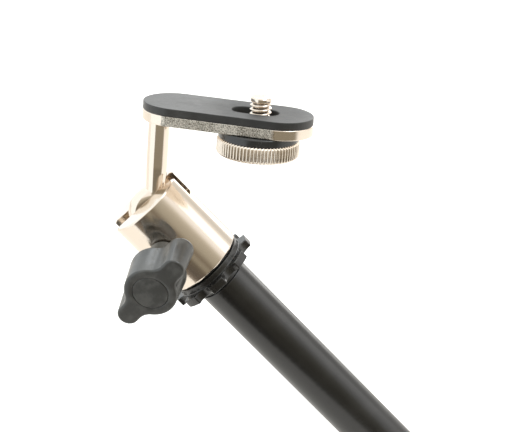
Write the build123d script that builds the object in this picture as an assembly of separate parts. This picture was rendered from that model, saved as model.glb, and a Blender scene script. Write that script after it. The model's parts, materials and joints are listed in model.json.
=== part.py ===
from build123d import *
import math
import os

# A camera platform on a tilting head, screwed to the end of a stand rod.
# Row frame, in millimetres: +Z is up, along the camera screw; +X runs along the platform
# from its post to the camera screw; the origin is the mouth of the rod's lower thread.

# --- whole object ---
ROD_SLOPE = 43.9           # degrees the rod falls below level
ROD_HEADING = 19.4         # degrees from +X to the rod, seen from above
RUN = 0.05                 # running clearance between turning or sliding pieces
THROUGH = 1.0              # how far a cutter runs past the surface that it opens
LEVEL_SLACK = 0.001        # for picking the edges that lie at one height

# --- platform ---
PLATE_LENGTH = 50.5
PLATE_WIDTH = 20.0
PLATE_THICK = 3.1
PLATE_EDGE = 0.3
PAD_THICK = 2.3
PAD_EDGE = 0.5
POST_FROM_END = 4.9        # post axis to the near end of the plate
PLATE_UNDERSIDE = 28.8     # above the tilt pin
CAMERA_SCREW_X = 29.85     # post axis to camera screw axis
PAD_SLOT_LENGTH = 13.9
PAD_SLOT_WIDTH = 7.2
PLATE_SLOT_LENGTH = 12.1
PLATE_SLOT_WIDTH = 5.4
SLOT_CENTRE_X = 28.35

# --- post ---
POST_DIAMETER = 6.3
NECK_DIAMETER = 5.6
NECK_TOP = 13.0
NECK_CONE = 1.5
POST_TOP_EDGE = 0.3
EYE_DIAMETER = 15.2
EYE_THICK = 6.3
EYE_EDGE_RADIUS = 2.0
POST_SCREW_SHANK = 4.0
POST_SCREW_DEPTH = 9.0     # of its tapped hole, below the plate
POST_SCREW_SPARE = 1.0     # left empty below the screw
POST_SCREW_HEAD = 7.8
POST_SCREW_HEAD_HIGH = 1.9
POST_SCREW_HEX = 2.5
POST_SCREW_HEX_DEEP = 1.4
POST_SCREW_POINT = 0.4
POST_WASHER_THICK = 0.4

# --- camera screw and thumbwheel ---
SCREW_DIAMETER = 6.35      # 1/4 inch, 20 threads to the inch
SCREW_TOP = 38.7           # above the tilt pin
SCREW_TIP_CHAMFER = 0.6
SCREW_RELIEF = 6.0         # diameter below the pad's top, clear of the slot
SCREW_RELIEF_ABOVE_PLATE = 0.3
SCREW_THREAD_ABOVE_PAD = 0.1
SCREW_NECK = 5.0
SCREW_HEAD = 8.4
SCREW_HEAD_HIGH = 1.2
COIN_SLOT_WIDTH = 1.3
COIN_SLOT_DEEP = 0.8
WHEEL_DIAMETER = 24.2
WHEEL_HIGH = 5.0
WHEEL_EDGE = 0.35
KNURL_COUNT = 72
KNURL_DEEP = 0.3
COLLAR_DIAMETER = 23.4
COLLAR_EDGE = 0.5
COLLAR_HIGH = 2.2

# --- head ---
HEAD_DIAMETER = 24.0
RIM_ABOVE_PIN = 4.55
HEAD_BELOW_PIN = 22.4
HEAD_TOP_EDGE = 0.5
HEAD_BOTTOM_EDGE = 0.7
SLOT_WIDTH = 6.5
SLOT_BELOW_PIN = 2.9
EYE_POCKET_DIAMETER = 15.8
JAW_CORNER = 1.6
PIN_DIAMETER = 4.0
SHOE_BORE = 10.0
SHOE_DIAMETER = 9.9
SHOE_TOP_GAP = 0.12
SHOE_BOTTOM = 13.6
SHOE_DROP = 0.3            # how far the shoe falls when the wing screw is slack
KNOB_BELOW_PIN = 8.87
KNOB_TURN = 22.9           # degrees about the rod from the tilt pin's direction

# --- wing knob ---
KNOB_FACE = 32.2           # rod axis to the knob's front face
KNOB_DEPTH = 11.7
KNOB_BODY = 15.6           # body diameter at the front face
KNOB_DRAFT = 3.0           # degrees the sides spread towards the back
LOBE_RADIUS = 3.2
LOBE_CENTRE = 11.1
LOBE_TURN = 9.6            # degrees from square across the rod
WEB_RADIUS = 4.5
HUB_DIAMETER = 9.6
HUB_GAP = 0.5
KNOB_CAP = 10.6
KNOB_CAP_DEEP = 1.4
CAP_GROOVE = 0.12
CAP_EDGE = 0.2
CLAMP_THREAD = 6.0
CLAMP_HEX = 10.0 / math.cos(math.radians(30))
CLAMP_HEX_HIGH = 3.2
CLAMP_TIP_DIAMETER = 4.4
CLAMP_TIP_END = 3.6        # rod axis to the end of the tip
CLAMP_TIP_EDGE = 0.8
CLAMP_SCREW_END = 5.6      # rod axis to the end of the threaded screw

# --- joint between head and rod ---
ROD_THREAD = 9.525         # 3/8 inch, 16 threads to the inch
ROD_THREAD_CORE = 7.94
BUSH_DIAMETER = 14.0
BUSH_TOP = 14.6            # below the pin
STUD_TOP = 15.4
STUD_END_CHAMFER = 0.8
THREAD_PLAY = 0.1          # between the stud's thread and the washer's bore
WASHER_DIAMETER = 21.0
WASHER_THICK = 0.6
LOCK_HUB_DIAMETER = 22.8
LOCK_RING_DIAMETER = 28.0
LOCK_LOBES = 8
LOCK_NOTCH_RADIUS = 2.6
LOCK_NOTCH_OUTSIDE = 0.7   # notch centres stand this far outside the ring
LOCK_HUB_HIGH = 1.8
LOCK_FLANGE_HIGH = 2.6
LOCK_INSERT_DIAMETER = 13.0

# --- rod ---
ROD_DIAMETER = 16.0
ROD_WALL = 1.5
ROD_LENGTH = 90.0
ROD_EDGE = 0.3
PLUG_SHOULDER_DIAMETER = 15.0
PLUG_SHOULDER_HIGH = 1.3
PLUG_LENGTH = 18.0
PLUG_FLOOR = 4.0           # left solid below the stud
PLUG_GAP = 1.0             # between the lock ring and the plug's shoulder
LOWER_PLUG_LENGTH = 20.0
LOWER_THREAD_LENGTH = 15.0
LOWER_LIP_HIGH = 1.2
LOWER_LIP_STEP = 0.3

# Levels along the rod, below the tilt pin.
WASHER_LEVEL = HEAD_BELOW_PIN + RUN
LOCK_LEVEL = WASHER_LEVEL + WASHER_THICK + RUN
LOCK_BOTTOM = LOCK_LEVEL + LOCK_HUB_HIGH + LOCK_FLANGE_HIGH
ROD_TOP = LOCK_BOTTOM + PLUG_GAP + PLUG_SHOULDER_HIGH
ROD_END = ROD_TOP + ROD_LENGTH + LOWER_LIP_HIGH

slope = math.radians(ROD_SLOPE)
heading = math.radians(ROD_HEADING)
ROD_DOWN = Vector(
    math.cos(slope) * math.cos(heading),
    math.cos(slope) * math.sin(heading),
    -math.sin(slope),
)
PIN_POINT = ROD_DOWN * -ROD_END
ROD_SIDE = Vector(
    math.sin(slope) * math.cos(heading),
    math.sin(slope) * math.sin(heading),
    math.cos(slope),
)
# Platform frame: level, centred on the tilt pin. Head frame: +Z up the rod, +Y along the pin.
platform_frame = Location(PIN_POINT)
head_frame = Plane(origin=PIN_POINT, x_dir=ROD_SIDE, z_dir=ROD_DOWN * -1).location


def rod(diameter, low, high):
    """A round bar on the Z axis between two heights."""
    return Pos(0, 0, low) * Cylinder(
        diameter / 2, high - low, align=(Align.CENTER, Align.CENTER, Align.MIN)
    )


def edges_at(shape, height):
    return shape.edges().filter_by_position(Axis.Z, height - LEVEL_SLACK, height + LEVEL_SLACK)


def eased(shape, sizes):
    """Chamfer the horizontal outer edges at the listed heights."""
    for height, size in sizes:
        picked = edges_at(shape, height)
        shape = chamfer([picked.sort_by(SortBy.LENGTH)[-1]], size)
    return shape


def turned(points):
    """A solid of revolution about Z from (radius, height) points."""
    outline = make_face(Polyline(*[(r, 0, z) for r, z in points], close=True))
    return revolve(outline, Axis.Z)


def slot_cutter(length, width, low, high):
    """Round-ended slot right through a strip that lies between two heights."""
    flat = SlotOverall(length, width)
    return Pos(SLOT_CENTRE_X, 0, low - THROUGH) * extrude(flat, high - low + 2 * THROUGH)


def strip(low, high, edge):
    """The platform's outline between two heights, edges eased top and bottom."""
    flat = SlotOverall(PLATE_LENGTH, PLATE_WIDTH)
    centre = PLATE_LENGTH / 2 - POST_FROM_END
    block = extrude(flat, high - low)
    rims = edges_at(block, 0) + edges_at(block, high - low)
    return Pos(centre, 0, low) * chamfer(rims, edge)


plate_top = PLATE_UNDERSIDE + PLATE_THICK
pad_top = plate_top + PAD_THICK


def camera_plate():
    plate = strip(PLATE_UNDERSIDE, plate_top, PLATE_EDGE)
    plate -= slot_cutter(PLATE_SLOT_LENGTH, PLATE_SLOT_WIDTH, PLATE_UNDERSIDE, plate_top)
    head_r = POST_SCREW_HEAD / 2
    shank_r = POST_SCREW_SHANK / 2
    sink = turned([
        (0, PLATE_UNDERSIDE - THROUGH),
        (shank_r, PLATE_UNDERSIDE - THROUGH),
        (shank_r, plate_top - POST_SCREW_HEAD_HIGH),
        (head_r, plate_top),
        (head_r, plate_top + THROUGH),
        (0, plate_top + THROUGH),
    ])
    return plate - sink


def rubber_pad():
    pad = strip(plate_top, pad_top, PAD_EDGE)
    return pad - slot_cutter(PAD_SLOT_LENGTH, PAD_SLOT_WIDTH, plate_top, pad_top)


def post_screw():
    """Countersunk screw that holds the plate on the post; its hexagon is under the pad."""
    head_r = POST_SCREW_HEAD / 2
    shank_r = POST_SCREW_SHANK / 2
    foot = PLATE_UNDERSIDE - POST_SCREW_DEPTH + POST_SCREW_SPARE
    screw = turned([
        (0, foot),
        (shank_r - POST_SCREW_POINT, foot),
        (shank_r, foot + POST_SCREW_POINT),
        (shank_r, plate_top - POST_SCREW_HEAD_HIGH),
        (head_r, plate_top),
        (0, plate_top),
    ])
    socket = extrude(RegularPolygon(POST_SCREW_HEX / 2, 6, major_radius=False), POST_SCREW_HEX_DEEP)
    return screw - Pos(0, 0, plate_top - POST_SCREW_HEX_DEEP) * socket


def post():
    """Round post ending in a flat-sided eye with rounded edges, cross-bored for the tilt pin."""
    top = PLATE_UNDERSIDE - POST_WASHER_THICK - RUN
    post_r = POST_DIAMETER / 2
    shank = turned([
        (0, 0),
        (NECK_DIAMETER / 2, 0),
        (NECK_DIAMETER / 2, NECK_TOP - NECK_CONE),
        (post_r, NECK_TOP),
        (post_r, top - POST_TOP_EDGE),
        (post_r - POST_TOP_EDGE, top),
        (0, top),
    ])
    disc = Cylinder(EYE_DIAMETER / 2, EYE_THICK)
    disc = fillet(disc.edges().filter_by(GeomType.CIRCLE), EYE_EDGE_RADIUS)
    eye = Rot(90, 0, 0) * disc
    body = shank + Rot(0, 0, ROD_HEADING) * eye
    bore = Rot(0, 0, ROD_HEADING) * Rot(90, 0, 0) * Cylinder(PIN_DIAMETER / 2 + RUN, EYE_DIAMETER)
    tapped = rod(POST_SCREW_SHANK + 2 * RUN, PLATE_UNDERSIDE - POST_SCREW_DEPTH, top + THROUGH)
    return body - bore - tapped


def post_washer():
    ring = rod(POST_DIAMETER, PLATE_UNDERSIDE - POST_WASHER_THICK, PLATE_UNDERSIDE)
    return ring - rod(POST_SCREW_SHANK, 0, PLATE_UNDERSIDE + THROUGH)


wheel_top = PLATE_UNDERSIDE - COLLAR_HIGH - 2 * RUN
wheel_bottom = wheel_top - WHEEL_HIGH


def on_screw_axis(shape):
    return Pos(CAMERA_SCREW_X, 0, 0) * shape


def camera_screw():
    """Captive screw: its neck slides in the plate's slot, its full thread starts above the pad."""
    relief_foot = plate_top + SCREW_RELIEF_ABOVE_PLATE
    thread_foot = pad_top + SCREW_THREAD_ABOVE_PAD
    screw_r = SCREW_DIAMETER / 2
    screw = turned([
        (0, wheel_bottom),
        (SCREW_HEAD / 2, wheel_bottom),
        (SCREW_HEAD / 2, wheel_bottom + SCREW_HEAD_HIGH),
        (SCREW_NECK / 2, wheel_bottom + SCREW_HEAD_HIGH),
        (SCREW_NECK / 2, relief_foot),
        (SCREW_RELIEF / 2, relief_foot),
        (SCREW_RELIEF / 2, thread_foot),
        (screw_r, thread_foot),
        (screw_r, SCREW_TOP - SCREW_TIP_CHAMFER),
        (screw_r - SCREW_TIP_CHAMFER, SCREW_TOP),
        (0, SCREW_TOP),
    ])
    coin = Pos(0, 0, wheel_bottom) * Box(SCREW_HEAD + THROUGH, COIN_SLOT_WIDTH, 2 * COIN_SLOT_DEEP)
    return on_screw_axis(screw - coin)


def knurled_outline():
    """Straight knurl: shallow ridges of equal pitch round the wheel."""
    crest = WHEEL_DIAMETER / 2
    root = crest - KNURL_DEEP
    points = []
    for tooth in range(KNURL_COUNT):
        for share, radius in ((0.0, root), (0.25, crest), (0.5, crest), (0.75, root)):
            angle = 2 * math.pi * (tooth + share) / KNURL_COUNT
            points.append((radius * math.cos(angle), radius * math.sin(angle)))
    return make_face(Polyline(*points, close=True))


def thumbwheel():
    wheel = Pos(0, 0, wheel_bottom) * extrude(knurled_outline(), WHEEL_HIGH)
    crest = WHEEL_DIAMETER / 2
    ease = WHEEL_EDGE + KNURL_DEEP
    envelope = turned([
        (0, wheel_bottom),
        (crest - ease, wheel_bottom),
        (crest, wheel_bottom + WHEEL_EDGE),
        (crest, wheel_top - WHEEL_EDGE),
        (crest - ease, wheel_top),
        (0, wheel_top),
    ])
    wheel = wheel & envelope
    wheel -= rod(SCREW_NECK, wheel_bottom - THROUGH, wheel_top + THROUGH)
    wheel -= rod(SCREW_HEAD, wheel_bottom - THROUGH, wheel_bottom + SCREW_HEAD_HIGH)
    return on_screw_axis(wheel)


def wheel_collar():
    """Fibre ring between the thumbwheel and the plate."""
    low = wheel_top + RUN
    high = low + COLLAR_HIGH
    ring = eased(rod(COLLAR_DIAMETER, low, high), [(high, COLLAR_EDGE)])
    return on_screw_axis(ring - rod(SCREW_NECK + 2 * RUN, low - THROUGH, high + THROUGH))


def knob_axis(shape):
    """Lay a piece on the wing screw's axis; its heights are distances from the rod's axis."""
    return Pos(0, 0, -KNOB_BELOW_PIN) * Rot(0, 0, -KNOB_TURN) * Rot(90, 0, 0) * shape


def head_housing():
    """Turned head: cross slot with a round pocket for the eye, bored from below."""
    body = eased(
        rod(HEAD_DIAMETER, -HEAD_BELOW_PIN, RIM_ABOVE_PIN),
        [(RIM_ABOVE_PIN, HEAD_TOP_EDGE), (-HEAD_BELOW_PIN, HEAD_BOTTOM_EDGE)],
    )
    slot_high = RIM_ABOVE_PIN + SLOT_BELOW_PIN + THROUGH
    across = HEAD_DIAMETER + 2 * THROUGH
    slot = Pos(0, 0, -SLOT_BELOW_PIN + slot_high / 2) * Box(across, SLOT_WIDTH, slot_high)
    pocket = Rot(90, 0, 0) * Cylinder(EYE_POCKET_DIAMETER / 2, SLOT_WIDTH)
    pin_bore = Rot(90, 0, 0) * Cylinder(PIN_DIAMETER / 2, across)
    shoe_bore = rod(SHOE_BORE, -BUSH_TOP - THROUGH, -SLOT_BELOW_PIN)
    bush_bore = rod(BUSH_DIAMETER, -HEAD_BELOW_PIN - THROUGH, -BUSH_TOP)
    tapped = knob_axis(rod(CLAMP_THREAD, 0, HEAD_DIAMETER))
    body = body - slot - pocket - pin_bore - shoe_bore - bush_bore - tapped
    return round_jaw_corners(body)


def round_jaw_corners(body):
    """Cut the four top corners of the jaws to a radius, seen along the pin."""
    reach = HEAD_DIAMETER / 2
    height = RIM_ABOVE_PIN
    across = HEAD_DIAMETER + 2 * THROUGH
    corner = Box(2 * JAW_CORNER, across, 2 * JAW_CORNER)
    for side in (-1, 1):
        at = Pos(side * reach, 0, height)
        round_off = Rot(90, 0, 0) * Cylinder(JAW_CORNER, across + 2 * THROUGH)
        inward = Pos(side * (reach - JAW_CORNER), 0, height - JAW_CORNER)
        body = body - (at * corner - inward * round_off)
    return body


def tilt_pin():
    """Plain pin ground flush with the head's round side at both ends."""
    pin = Rot(90, 0, 0) * Cylinder(PIN_DIAMETER / 2, HEAD_DIAMETER + 2 * THROUGH)
    return pin & rod(HEAD_DIAMETER, -PIN_DIAMETER, PIN_DIAMETER)


def brake_shoe():
    """Plunger pushed up against the eye by the tip of the wing screw."""
    shoe = rod(SHOE_DIAMETER, -SHOE_BOTTOM, -SLOT_BELOW_PIN - 2 * SHOE_TOP_GAP)
    eye_room = Rot(90, 0, 0) * Cylinder(EYE_DIAMETER / 2 + SHOE_TOP_GAP, SHOE_DIAMETER + 2 * THROUGH)
    seat_room = CLAMP_TIP_DIAMETER + 2 * SHOE_DROP + 4 * RUN
    seat = knob_axis(rod(seat_room, CLAMP_TIP_END - 4 * RUN, SHOE_DIAMETER))
    return shoe - eye_room - seat


def head_bush():
    """Steel bush pressed into the head's foot, tapped for the rod's stud."""
    bush = rod(BUSH_DIAMETER, -HEAD_BELOW_PIN, -BUSH_TOP)
    return bush - rod(ROD_THREAD + 2 * RUN, -HEAD_BELOW_PIN - THROUGH, -BUSH_TOP + THROUGH)


def knob_profile(spread):
    """Round body with two opposite lobes, each joined to it by hollow fillets."""
    body_r = KNOB_BODY / 2 + spread
    lobe_r = LOBE_RADIUS + spread
    sketch = Circle(body_r)
    for side in (-1, 1):
        sketch += Pos(side * LOBE_CENTRE, 0) * Circle(lobe_r)
        sketch += Pos(side * LOBE_CENTRE / 2, 0) * Rectangle(LOBE_CENTRE, 2 * lobe_r)
    corners = [v for v in sketch.vertices() if abs(v.X) < KNOB_BODY / 2 + spread]
    return fillet(corners, WEB_RADIUS)


def wing_knob():
    front = KNOB_FACE
    back = KNOB_FACE - KNOB_DEPTH
    hub_end = HEAD_DIAMETER / 2 + HUB_GAP
    spread = KNOB_DEPTH * math.tan(math.radians(KNOB_DRAFT))
    knob = loft([Pos(0, 0, back) * knob_profile(spread), Pos(0, 0, front) * knob_profile(0)], ruled=True)
    knob += rod(HUB_DIAMETER, hub_end, back + THROUGH)
    knob -= rod(KNOB_CAP, front - KNOB_CAP_DEEP, front + THROUGH)
    hexagon = extrude(RegularPolygon(CLAMP_HEX / 2, 6), CLAMP_HEX_HIGH)
    knob -= Pos(0, 0, front - KNOB_CAP_DEEP - CLAMP_HEX_HIGH) * hexagon
    knob -= rod(CLAMP_THREAD, hub_end - THROUGH, front)
    return knob_axis(Rot(0, 0, LOBE_TURN) * knob)


def knob_cap():
    """Flush disc over the screw's head, with a fine groove round it."""
    disc = rod(KNOB_CAP - 2 * CAP_GROOVE, KNOB_FACE - KNOB_CAP_DEEP, KNOB_FACE)
    return knob_axis(eased(disc, [(KNOB_FACE, CAP_EDGE)]))


def clamp_screw():
    """Hexagon screw held in the knob; its plain end carries the brass tip."""
    head_low = KNOB_FACE - KNOB_CAP_DEEP - CLAMP_HEX_HIGH
    hexagon = extrude(RegularPolygon(CLAMP_HEX / 2, 6), CLAMP_HEX_HIGH)
    screw = Pos(0, 0, head_low) * hexagon
    screw += rod(CLAMP_THREAD - 2 * RUN, CLAMP_SCREW_END, head_low)
    return knob_axis(Rot(0, 0, LOBE_TURN) * screw)


def clamp_tip():
    """Brass tip that the screw pushes without turning it."""
    tip = rod(CLAMP_TIP_DIAMETER, CLAMP_TIP_END, CLAMP_SCREW_END - RUN)
    return knob_axis(eased(tip, [(CLAMP_TIP_END, CLAMP_TIP_EDGE)]))


def below_pin(shape):
    """Levels along the rod are measured downwards; the head frame's Z points up."""
    return Rot(180, 0, 0) * shape


def lock_washer():
    ring = rod(WASHER_DIAMETER, WASHER_LEVEL, WASHER_LEVEL + WASHER_THICK)
    return below_pin(ring - rod(ROD_THREAD + 2 * THREAD_PLAY, 0, LOCK_BOTTOM))


def star_outline():
    star = Circle(LOCK_RING_DIAMETER / 2)
    notch_at = LOCK_RING_DIAMETER / 2 + LOCK_NOTCH_OUTSIDE
    for lobe in range(LOCK_LOBES):
        angle = 360 * (lobe + 0.5) / LOCK_LOBES
        star -= Rot(0, 0, angle) * Pos(notch_at, 0) * Circle(LOCK_NOTCH_RADIUS)
    return star


def lock_ring():
    """Star ring of moulded plastic round a steel threaded insert."""
    hub_end = LOCK_LEVEL + LOCK_HUB_HIGH
    ring = rod(LOCK_HUB_DIAMETER, LOCK_LEVEL, hub_end)
    ring += Pos(0, 0, hub_end) * extrude(star_outline(), LOCK_FLANGE_HIGH)
    return below_pin(ring - rod(LOCK_INSERT_DIAMETER, LOCK_LEVEL - THROUGH, LOCK_BOTTOM + THROUGH))


def lock_insert():
    ring = rod(LOCK_INSERT_DIAMETER, LOCK_LEVEL, LOCK_BOTTOM)
    return below_pin(ring - rod(ROD_THREAD + 2 * RUN, LOCK_LEVEL - THROUGH, LOCK_BOTTOM + THROUGH))


def rod_stud():
    """Threaded stud that carries the head, screwed into the plug in the rod's end."""
    foot = ROD_TOP + PLUG_LENGTH - PLUG_FLOOR
    ends = [(STUD_TOP, STUD_END_CHAMFER), (foot, STUD_END_CHAMFER)]
    return below_pin(eased(rod(ROD_THREAD, STUD_TOP, foot), ends))


def rod_plug():
    """Plug in the rod's upper end; its shoulder covers the cut end of the tube."""
    shoulder_top = ROD_TOP - PLUG_SHOULDER_HIGH
    plug = rod(ROD_DIAMETER - 2 * ROD_WALL, shoulder_top, ROD_TOP + PLUG_LENGTH)
    plug += rod(PLUG_SHOULDER_DIAMETER, shoulder_top, ROD_TOP)
    plug -= rod(ROD_THREAD, shoulder_top - THROUGH, ROD_TOP + PLUG_LENGTH - PLUG_FLOOR)
    return below_pin(plug)


def rod_tube():
    foot = ROD_TOP + ROD_LENGTH
    tube = eased(rod(ROD_DIAMETER, ROD_TOP, foot), [(ROD_TOP, ROD_EDGE), (foot, ROD_EDGE)])
    return below_pin(tube - rod(ROD_DIAMETER - 2 * ROD_WALL, ROD_TOP - THROUGH, foot + THROUGH))


def lower_plug():
    """Plug in the rod's lower end, tapped for the next piece of the stand."""
    tube_end = ROD_TOP + ROD_LENGTH
    plug = rod(ROD_DIAMETER - 2 * ROD_WALL, ROD_END - LOWER_PLUG_LENGTH, ROD_END)
    plug += rod(ROD_DIAMETER - 2 * LOWER_LIP_STEP, tube_end, ROD_END)
    plug -= rod(ROD_THREAD_CORE, ROD_END - LOWER_THREAD_LENGTH, ROD_END + THROUGH)
    return below_pin(plug)


def write(name, shape):
    export_step(shape, "parts/" + name + ".step")


os.makedirs("parts", exist_ok=True)

level_pieces = {
    "camera_plate": camera_plate,
    "rubber_pad": rubber_pad,
    "post_screw": post_screw,
    "post_washer": post_washer,
    "tilt_post": post,
    "camera_screw": camera_screw,
    "thumbwheel": thumbwheel,
    "wheel_collar": wheel_collar,
}
rod_pieces = {
    "head_housing": head_housing,
    "head_bush": head_bush,
    "tilt_pin": tilt_pin,
    "brake_shoe": brake_shoe,
    "wing_knob": wing_knob,
    "knob_cap": knob_cap,
    "clamp_screw": clamp_screw,
    "clamp_tip": clamp_tip,
    "lock_washer": lock_washer,
    "lock_ring": lock_ring,
    "lock_insert": lock_insert,
    "rod_stud": rod_stud,
    "rod_plug": rod_plug,
    "rod_tube": rod_tube,
    "lower_plug": lower_plug,
}
for name, make in level_pieces.items():
    write(name, platform_frame * make())
for name, make in rod_pieces.items():
    write(name, head_frame * make())
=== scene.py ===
import json
import math

import bmesh
import bpy
from mathutils import Matrix, Vector

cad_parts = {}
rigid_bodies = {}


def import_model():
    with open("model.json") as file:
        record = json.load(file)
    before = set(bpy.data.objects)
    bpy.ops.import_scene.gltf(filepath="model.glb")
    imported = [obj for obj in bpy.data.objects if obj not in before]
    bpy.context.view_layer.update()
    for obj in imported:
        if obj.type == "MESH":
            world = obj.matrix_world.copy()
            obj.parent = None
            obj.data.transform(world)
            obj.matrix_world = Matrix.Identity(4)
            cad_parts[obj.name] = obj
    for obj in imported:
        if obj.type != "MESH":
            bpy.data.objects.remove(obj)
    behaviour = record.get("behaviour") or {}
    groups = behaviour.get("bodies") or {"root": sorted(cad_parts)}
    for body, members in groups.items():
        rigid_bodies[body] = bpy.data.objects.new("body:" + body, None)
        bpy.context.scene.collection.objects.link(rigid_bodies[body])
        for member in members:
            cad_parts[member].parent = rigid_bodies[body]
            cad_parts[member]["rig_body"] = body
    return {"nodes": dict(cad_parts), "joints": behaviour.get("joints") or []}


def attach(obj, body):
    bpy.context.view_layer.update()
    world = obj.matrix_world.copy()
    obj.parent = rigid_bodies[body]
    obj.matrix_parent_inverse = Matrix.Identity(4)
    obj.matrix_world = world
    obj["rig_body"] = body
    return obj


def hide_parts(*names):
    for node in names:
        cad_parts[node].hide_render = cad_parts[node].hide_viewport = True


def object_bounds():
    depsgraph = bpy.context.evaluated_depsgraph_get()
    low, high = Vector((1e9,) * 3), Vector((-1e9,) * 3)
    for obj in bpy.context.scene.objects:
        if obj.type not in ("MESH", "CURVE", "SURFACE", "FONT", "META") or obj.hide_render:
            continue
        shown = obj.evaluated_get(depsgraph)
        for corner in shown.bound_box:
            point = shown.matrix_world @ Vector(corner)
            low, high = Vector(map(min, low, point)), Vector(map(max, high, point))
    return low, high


# Looks of a camera platform on a tilting head at the end of a stand rod.
# Each piece is drawn in millimetres in its own place, which comes with its main sizes from the CAD frame.

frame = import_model()
cad_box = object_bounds()

MM = 0.001
TURN_STEPS = 160           # points round a turned piece
ROUND_STEPS = 5            # facets in a rounded edge
SHARP_ANGLE = math.radians(38)
ON_AXIS = 1e-6             # a smaller radius is a point on the axis
RUN = 0.05                 # clearance between turning pieces
PAST = 1.0                 # how far a cutter reaches past what it cuts
LAP = 0.2                  # overlap where a thread runs into a plain part

# ---------------------------------------------------------------- places


def joint(name):
    return next(j for j in frame["joints"] if j["name"] == name)


def place_on(origin, z_axis, y_axis):
    """A local frame with that Z axis and its Y axis as near as it can be to y_axis."""
    z = Vector(z_axis).normalized()
    y = Vector(y_axis)
    y = (y - y.dot(z) * z).normalized()
    turn = Matrix((y.cross(z), y, z)).transposed().to_4x4()
    turn.translation = Vector(origin)
    return turn


def reach(node, place):
    """Lowest and highest corner of a CAD node in a local frame, in millimetres."""
    inward = place.inverted()
    points = [inward @ v.co for v in frame["nodes"][node].data.vertices]
    low = [min(p[i] for p in points) / MM for i in range(3)]
    high = [max(p[i] for p in points) / MM for i in range(3)]
    return low, high


LOBE_TURN = math.radians(9.6)   # wing knob's lobes, from square across the rod

pin_point = Vector(joint("post_tilt")["pos_m"])
pin_axis = Vector(joint("post_tilt")["axis"])
up_rod = Vector(joint("head_swivel")["axis"])
knob_out = -Vector(joint("wing_knob_turn")["axis"])
knob_height = (Vector(joint("wing_knob_turn")["pos_m"]) - pin_point).dot(up_rod)
wheel_point = Vector(joint("thumbwheel_turn")["pos_m"])

level = Matrix.Translation(pin_point)
post_place = place_on(pin_point, (0, 0, 1), pin_axis)
head_place = place_on(pin_point, up_rod, pin_axis)
knob_place = place_on(pin_point + knob_height * up_rod, knob_out, up_rod)
knob_place = knob_place @ Matrix.Rotation(LOBE_TURN, 4, "Z")
screw_place = Matrix.Translation((wheel_point.x, wheel_point.y, pin_point.z))

# ---------------------------------------------------------------- node helpers


def add_node(tree, kind, **settings):
    node = tree.nodes.new("ShaderNode" + kind)
    for name, value in settings.items():
        setattr(node, name, value)
    return node


def feed(tree, node, **inputs):
    """Fill a node's inputs, by number as i0, i1... or by name, with values or other sockets."""
    for name, value in inputs.items():
        key = int(name[1:]) if name[0] == "i" and name[1:].isdigit() else name.replace("_", " ")
        socket = node.inputs[key]
        if isinstance(value, bpy.types.NodeSocket):
            tree.links.new(value, socket)
        else:
            socket.default_value = value
    return node


def maths(tree, operation, a, b=0.0, clamp=False):
    node = add_node(tree, "Math", operation=operation, use_clamp=clamp)
    return feed(tree, node, i0=a, i1=b).outputs[0]


def stretch(tree, value, low, high, out_low=0.0, out_high=1.0):
    """Value from low..high spread over out_low..out_high with soft ends."""
    node = add_node(tree, "MapRange", interpolation_type="SMOOTHSTEP")
    feed(tree, node, i0=value, i1=low, i2=high, i3=out_low, i4=out_high)
    return node.outputs[0]


def blend_colours(tree, share, first, second):
    node = add_node(tree, "Mix", data_type="RGBA")
    feed(tree, node, i0=share, i6=first, i7=second)
    return node.outputs[2]


def new_group(name, inputs, outputs):
    group = bpy.data.node_groups.new(name, "ShaderNodeTree")
    for socket, value in inputs:
        kind = "NodeSocketVector" if isinstance(value, tuple) else "NodeSocketFloat"
        made = group.interface.new_socket(socket, in_out="INPUT", socket_type=kind)
        made.default_value = value
    for socket in outputs:
        group.interface.new_socket(socket, in_out="OUTPUT", socket_type="NodeSocketFloat")
    return group, group.nodes.new("NodeGroupInput"), group.nodes.new("NodeGroupOutput")


def noise(tree, vector, scale, detail=3.0, roughness=0.55):
    node = add_node(tree, "TexNoise")
    feed(tree, node, Vector=vector, Scale=scale, Detail=detail, Roughness=roughness)
    return node.outputs[0]


def grain_group():
    """Fine relief of a surface, drawn out along chosen axes: turning lines, moulded or cast grain."""
    inputs = [("Scale", 1000.0), ("Stretch", (1.0, 1.0, 1.0)), ("Coarse", 0.3)]
    group, entry, leave = new_group("surface grain", inputs, ["Height"])
    place = add_node(group, "TexCoord").outputs["Object"]
    scaled = add_node(group, "VectorMath", operation="MULTIPLY")
    feed(group, scaled, i0=place, i1=entry.outputs["Stretch"])
    fine = noise(group, scaled.outputs[0], entry.outputs["Scale"], 4.0, 0.6)
    slow_scale = maths(group, "MULTIPLY", entry.outputs["Scale"], 0.17)
    slow = noise(group, scaled.outputs[0], slow_scale, 2.0)
    slow_part = maths(group, "MULTIPLY", slow, entry.outputs["Coarse"])
    group.links.new(maths(group, "ADD", fine, slow_part), leave.inputs["Height"])
    return group


def handling_group():
    """Patches left by fingers and cloth, with some short streaks among them."""
    inputs = [("Size", 60.0), ("Cover", 0.5), ("Streaks", 0.3)]
    group, entry, leave = new_group("handling marks", inputs, ["Mask"])
    place = add_node(group, "TexCoord").outputs["Object"]
    patches = noise(group, place, entry.outputs["Size"], 4.0, 0.62)
    low = maths(group, "SUBTRACT", 0.75, maths(group, "MULTIPLY", entry.outputs["Cover"], 0.5))
    mask = stretch(group, patches, low, maths(group, "ADD", low, 0.25))
    drawn = add_node(group, "VectorMath", operation="MULTIPLY")
    feed(group, drawn, i0=place, i1=(1.0, 5.0, 0.6))
    streak_scale = maths(group, "MULTIPLY", entry.outputs["Size"], 9.0)
    streaks = stretch(group, noise(group, drawn.outputs[0], streak_scale, 3.0), 0.56, 0.72)
    streaks = maths(group, "MULTIPLY", streaks, entry.outputs["Streaks"])
    both = maths(group, "ADD", mask, streaks, clamp=True)
    group.links.new(both, leave.inputs["Mask"])
    return group


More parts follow.
